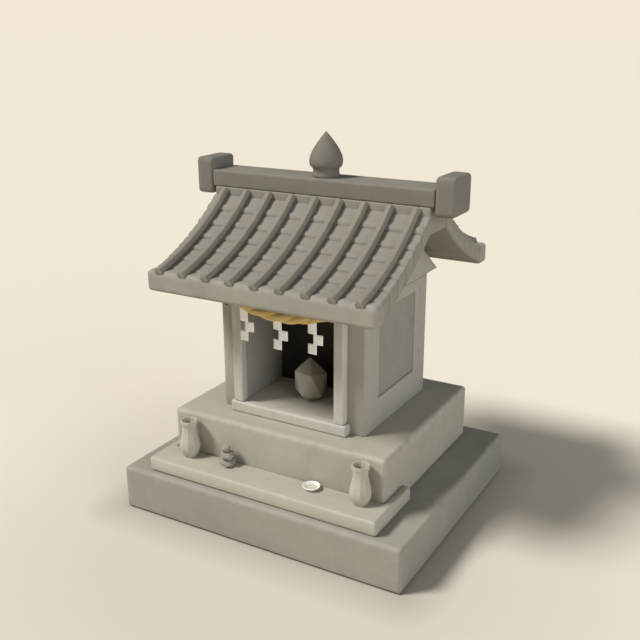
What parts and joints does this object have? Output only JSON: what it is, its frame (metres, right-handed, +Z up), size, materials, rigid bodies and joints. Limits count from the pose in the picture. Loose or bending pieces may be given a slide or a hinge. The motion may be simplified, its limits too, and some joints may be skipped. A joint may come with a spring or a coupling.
{
  "type": "wayside shrine",
  "caption": "Small stone wayside shrine on a stepped base, with an open chamber, a hollow-curved stepped and ribbed roof, ridge with jewel, sacred rope and offerings.",
  "frame": {"origin": "middle of the footprint of the whole object, on the ground", "axes": "+X to the right seen from the front, -Y towards the viewer out of the open front, +Z up"},
  "size_m": [1.1, 0.982, 1.336],
  "materials": {
    "base_stone": "rough sawn stone",
    "pale_stone": "smooth cut stone",
    "wall_stone": "dressed stone",
    "roof_stone": "weathered stone",
    "dark_stone": "weathered dark stone",
    "dark_panel": "dark slate, matt",
    "field_stone": "rough natural stone",
    "straw": "twisted rice straw",
    "paper": "folded white paper",
    "iron": "dark forged iron",
    "vase_ware": "unglazed pale ware",
    "dish_ware": "white glaze"
  },
  "bodies": {
    "root": {"base_plinth": "base_stone", "upper_plinth": "base_stone", "offering_step": "pale_stone", "chamber_floor": "wall_stone", "front_sill": "pale_stone", "wall_left": "wall_stone", "wall_right": "wall_stone", "wall_rear": "wall_stone", "back_panel": "dark_panel", "chamber_ceiling": "wall_stone", "jamb_left": "pale_stone", "jamb_right": "pale_stone", "lintel": "pale_stone", "gable_left": "wall_stone", "gable_right": "wall_stone", "wall_plate_front": "wall_stone", "wall_plate_rear": "wall_stone", "roof_slope_front": "roof_stone", "roof_slope_rear": "roof_stone", "ridge_course": "roof_stone", "eave_front": "roof_stone", "eave_rear": "roof_stone", "ribs_front": "dark_stone", "ribs_rear": "dark_stone", "ridge_beam": "dark_stone", "ridge_end_left": "dark_stone", "ridge_end_right": "dark_stone", "finial": "dark_stone", "rope": "straw", "rope_hooks": "iron", "streamers": "paper", "vase_left": "vase_ware", "vase_right": "vase_ware", "cairn_bottom": "field_stone", "cairn_middle": "field_stone", "cairn_top": "field_stone", "sacred_stone": "field_stone", "dish": "dish_ware"}
  },
  "joints": []
}
